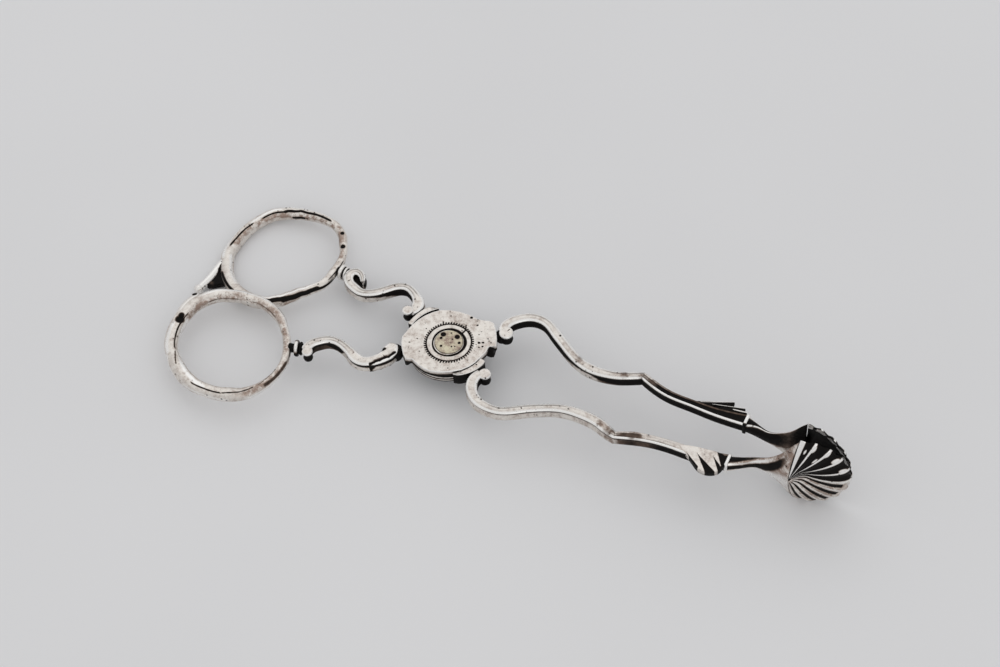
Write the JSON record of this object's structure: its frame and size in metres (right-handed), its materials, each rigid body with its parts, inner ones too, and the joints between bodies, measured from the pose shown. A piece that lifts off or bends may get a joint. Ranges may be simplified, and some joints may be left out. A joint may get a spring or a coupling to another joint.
{
  "type": "sugar nippers",
  "caption": "Scissor-action sugar nippers with oval finger rings, scrolled arms, a round lapped joint and fluted shell grips.",
  "frame": {"origin": "on the pivot axis, in the flat back face of the joint", "axes": "+X from the pivot towards the shells, +Z along the pivot axis out of the engraved top plate, +Y towards the shell of the top arm"},
  "size_m": [0.1216, 0.0446, 0.0174],
  "materials": {
    "silver_polished": "polished silver, worn, with dark tarnish in the recesses",
    "silver_worn": "dull rubbed silver",
    "silver_gilt_stain": "silver with a slight yellow stain"
  },
  "bodies": {
    "top_arm": {"pivot_pin": "silver_worn", "pivot_rosette": "silver_gilt_stain", "top_joint_plate": "silver_polished", "top_finger_ring": "silver_polished", "top_ring_stop": "silver_polished", "top_collar": "silver_polished", "top_handle_scroll": "silver_polished", "top_upper_shank": "silver_polished", "top_lower_shank": "silver_polished", "top_neck": "silver_polished", "top_shell_bowl": "silver_polished"},
    "under_arm": {"under_joint_plate": "silver_polished", "under_finger_ring": "silver_polished", "under_ring_stop": "silver_polished", "under_collar": "silver_polished", "under_handle_scroll": "silver_polished", "under_upper_shank": "silver_polished", "under_lower_shank": "silver_polished", "under_neck": "silver_polished", "under_shell_bowl": "silver_polished"}
  },
  "joints": [
    {"name": "pivot", "type": "hinge", "parent": "top_arm", "child": "under_arm", "pos_m": [0, 0, 0], "axis": [0, 0, -1], "range_deg": [0, 68]}
  ]
}
